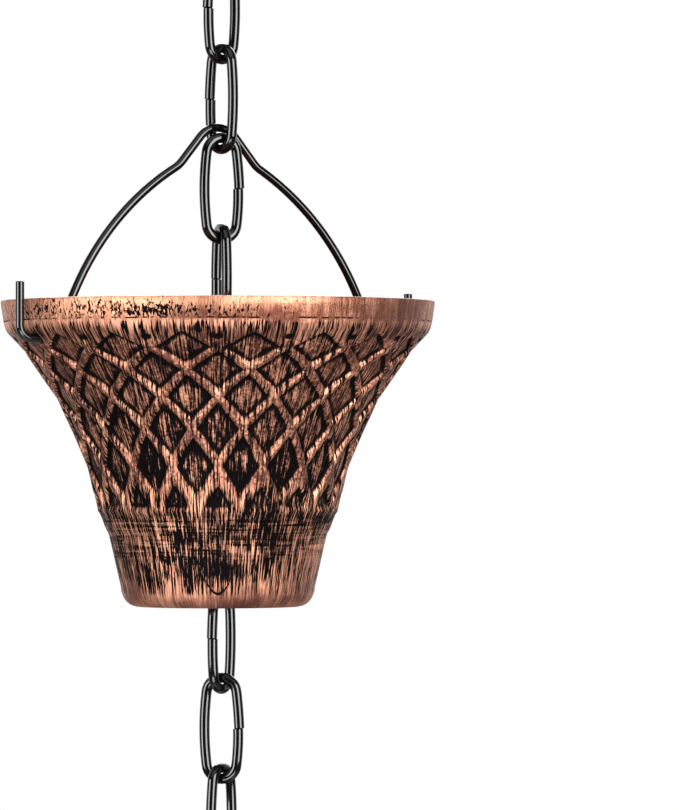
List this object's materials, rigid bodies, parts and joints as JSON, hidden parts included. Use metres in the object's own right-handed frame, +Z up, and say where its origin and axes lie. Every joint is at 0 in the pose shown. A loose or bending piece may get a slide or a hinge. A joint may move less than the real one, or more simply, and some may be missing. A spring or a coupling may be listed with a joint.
{
  "type": "rain chain",
  "caption": "Rain chain of black oval wire links that carries flared cast cups with a diamond lattice, each on a bent-wire bail, and leads roof water from cup to cup.",
  "frame": {"origin": "inside top of the first link, where the strand hangs", "axes": "+Z up along the strand, X along the bail of the middle cup"},
  "size_m": [0.1052, 0.1008, 0.626],
  "materials": {
    "link_wire": "gloss",
    "bail_wire": "gloss",
    "cup_casting": "antique copper, dark in the recesses"
  },
  "bodies": {
    "link_01": {"link_01": "link_wire"},
    "link_02": {"link_02": "link_wire"},
    "link_03": {"link_03": "link_wire"},
    "link_04": {"link_04": "link_wire"},
    "link_05": {"link_05": "link_wire"},
    "link_06": {"link_06": "link_wire"},
    "link_07": {"link_07": "link_wire"},
    "link_08": {"link_08": "link_wire"},
    "link_09": {"link_09": "link_wire"},
    "link_10": {"link_10": "link_wire"},
    "link_11": {"link_11": "link_wire"},
    "link_12": {"link_12": "link_wire"},
    "link_13": {"link_13": "link_wire"},
    "link_14": {"link_14": "link_wire"},
    "link_15": {"link_15": "link_wire"},
    "link_16": {"link_16": "link_wire"},
    "link_17": {"link_17": "link_wire"},
    "link_18": {"link_18": "link_wire"},
    "link_19": {"link_19": "link_wire"},
    "link_20": {"link_20": "link_wire"},
    "link_21": {"link_21": "link_wire"},
    "link_22": {"link_22": "link_wire"},
    "link_23": {"link_23": "link_wire"},
    "link_24": {"link_24": "link_wire"},
    "link_25": {"link_25": "link_wire"},
    "link_26": {"link_26": "link_wire"},
    "link_27": {"link_27": "link_wire"},
    "link_28": {"link_28": "link_wire"},
    "link_29": {"link_29": "link_wire"},
    "link_30": {"link_30": "link_wire"},
    "bail_1": {"bail_1": "bail_wire"},
    "cup_1": {"cup_1": "cup_casting"},
    "bail_2": {"bail_2": "bail_wire"},
    "cup_2": {"cup_2": "cup_casting"},
    "bail_3": {"bail_3": "bail_wire"},
    "cup_3": {"cup_3": "cup_casting"}
  },
  "joints": [
    {"name": "link_02_swing", "type": "hinge", "parent": "link_01", "child": "link_02", "pos_m": [0, 0, -0.0221], "axis": [0, -1, 0], "range_deg": [-45, 45]},
    {"name": "link_03_swing", "type": "hinge", "parent": "link_02", "child": "link_03", "pos_m": [0, 0, -0.0428], "axis": [-0.9397, -0.342, 0], "range_deg": [-2.5, 2.5]},
    {"name": "link_04_swing", "type": "hinge", "parent": "link_03", "child": "link_04", "pos_m": [0, 0, -0.0635], "axis": [0.682, -0.7314, 0], "range_deg": [-4, 4]},
    {"name": "link_05_swing", "type": "hinge", "parent": "link_04", "child": "link_05", "pos_m": [0, 0, -0.0842], "axis": [0.7314, 0.682, 0], "range_deg": [-5, 5]},
    {"name": "link_06_swing", "type": "hinge", "parent": "link_05", "child": "link_06", "pos_m": [0, 0, -0.1049], "axis": [-0.8192, 0.5736, 0], "range_deg": [-7, 7]},
    {"name": "link_07_swing", "type": "hinge", "parent": "link_06", "child": "link_07", "pos_m": [0, 0, -0.1256], "axis": [-0.3907, -0.9205, 0], "range_deg": [-12, 12]},
    {"name": "link_08_swing", "type": "hinge", "parent": "link_07", "child": "link_08", "pos_m": [0, 0, -0.1463], "axis": [0.9816, -0.1908, 0], "range_deg": [-40, 40]},
    {"name": "link_09_swing", "type": "hinge", "parent": "link_08", "child": "link_09", "pos_m": [0, 0, -0.167], "axis": [0.0175, -0.9998, 0], "range_deg": [-45, 45]},
    {"name": "link_10_swing", "type": "hinge", "parent": "link_09", "child": "link_10", "pos_m": [0, 0, -0.1877], "axis": [-0.9744, 0.225, 0], "range_deg": [-15, 15]},
    {"name": "link_11_swing", "type": "hinge", "parent": "link_10", "child": "link_11", "pos_m": [0, 0, -0.2084], "axis": [-0.0872, 0.9962, 0], "range_deg": [-45, 45]},
    {"name": "link_12_swing", "type": "hinge", "parent": "link_11", "child": "link_12", "pos_m": [0, 0, -0.2291], "axis": [0.9816, 0.1908, 0], "range_deg": [-45, 45]},
    {"name": "link_13_swing", "type": "hinge", "parent": "link_12", "child": "link_13", "pos_m": [0, 0, -0.2498], "axis": [0.1736, -0.9848, 0], "range_deg": [-2.5, 2.5]},
    {"name": "link_14_swing", "type": "hinge", "parent": "link_13", "child": "link_14", "pos_m": [0, 0, -0.2705], "axis": [-0.9744, 0.225, 0], "range_deg": [-4, 4]},
    {"name": "link_15_swing", "type": "hinge", "parent": "link_14", "child": "link_15", "pos_m": [0, 0, -0.2912], "axis": [-0.225, -0.9744, 0], "range_deg": [-5, 5]},
    {"name": "link_16_swing", "type": "hinge", "parent": "link_15", "child": "link_16", "pos_m": [0, 0, -0.3119], "axis": [0.9063, -0.4226, 0], "range_deg": [-7, 7]},
    {"name": "link_17_swing", "type": "hinge", "parent": "link_16", "child": "link_17", "pos_m": [0, 0, -0.3326], "axis": [0.6018, 0.7986, 0], "range_deg": [-12, 12]},
    {"name": "link_18_swing", "type": "hinge", "parent": "link_17", "child": "link_18", "pos_m": [0, 0, -0.3533], "axis": [-0.6561, 0.7547, 0], "range_deg": [-40, 40]},
    {"name": "link_19_swing", "type": "hinge", "parent": "link_18", "child": "link_19", "pos_m": [0, 0, -0.374], "axis": [-0.8746, -0.4848, 0], "range_deg": [-45, 45]},
    {"name": "link_20_swing", "type": "hinge", "parent": "link_19", "child": "link_20", "pos_m": [0, 0, -0.3947], "axis": [0.682, -0.7314, 0], "range_deg": [-15, 15]},
    {"name": "link_21_swing", "type": "hinge", "parent": "link_20", "child": "link_21", "pos_m": [0, 0, -0.4154], "axis": [0.9063, 0.4226, 0], "range_deg": [-45, 45]},
    {"name": "link_22_swing", "type": "hinge", "parent": "link_21", "child": "link_22", "pos_m": [0, 0, -0.4361], "axis": [-0.3256, 0.9455, 0], "range_deg": [-45, 45]},
    {"name": "link_23_swing", "type": "hinge", "parent": "link_22", "child": "link_23", "pos_m": [0, 0, -0.4568], "axis": [-0.9397, -0.342, 0], "range_deg": [-2.5, 2.5]},
    {"name": "link_24_swing", "type": "hinge", "parent": "link_23", "child": "link_24", "pos_m": [0, 0, -0.4775], "axis": [0.682, -0.7314, 0], "range_deg": [-4, 4]},
    {"name": "link_25_swing", "type": "hinge", "parent": "link_24", "child": "link_25", "pos_m": [0, 0, -0.4982], "axis": [0.7314, 0.682, 0], "range_deg": [-5, 5]},
    {"name": "link_26_swing", "type": "hinge", "parent": "link_25", "child": "link_26", "pos_m": [0, 0, -0.5189], "axis": [-0.8192, 0.5736, 0], "range_deg": [-7, 7]},
    {"name": "link_27_swing", "type": "hinge", "parent": "link_26", "child": "link_27", "pos_m": [0, 0, -0.5396], "axis": [-0.3907, -0.9205, 0], "range_deg": [-12, 12]},
    {"name": "link_28_swing", "type": "hinge", "parent": "link_27", "child": "link_28", "pos_m": [0, 0, -0.5603], "axis": [0.9816, -0.1908, 0], "range_deg": [-40, 40]},
    {"name": "link_29_swing", "type": "hinge", "parent": "link_28", "child": "link_29", "pos_m": [0, 0, -0.581], "axis": [0.0175, -0.9998, 0], "range_deg": [-45, 45]},
    {"name": "link_30_swing", "type": "hinge", "parent": "link_29", "child": "link_30", "pos_m": [0, 0, -0.6017], "axis": [-0.9744, 0.225, 0], "range_deg": [-15, 15]},
    {"name": "bail_1_sway", "type": "hinge", "parent": "link_02", "child": "bail_1", "pos_m": [0.00122, 0.00044, -0.03775], "axis": [0.5, -0.866, 0], "range_deg": [-2.5, 2.5]},
    {"name": "cup_1_tip", "type": "hinge", "parent": "bail_1", "child": "cup_1", "pos_m": [0.00122, 0.00044, -0.08675], "axis": [-0.5, 0.866, 0], "range_deg": [-5, 5]},
    {"name": "bail_2_sway", "type": "hinge", "parent": "link_12", "child": "bail_2", "pos_m": [-0.00022, 0.00128, -0.24475], "axis": [1, 0, 0], "range_deg": [-2.5, 2.5]},
    {"name": "cup_2_tip", "type": "hinge", "parent": "bail_2", "child": "cup_2", "pos_m": [-0.00022, 0.00128, -0.29375], "axis": [-1, 0, 0], "range_deg": [-5, 5]},
    {"name": "bail_3_sway", "type": "hinge", "parent": "link_22", "child": "bail_3", "pos_m": [0.00122, 0.00044, -0.45175], "axis": [0.5, -0.866, 0], "range_deg": [-2.5, 2.5]},
    {"name": "cup_3_tip", "type": "hinge", "parent": "bail_3", "child": "cup_3", "pos_m": [0.00122, 0.00044, -0.50075], "axis": [-0.5, 0.866, 0], "range_deg": [-5, 5]}
  ]
}
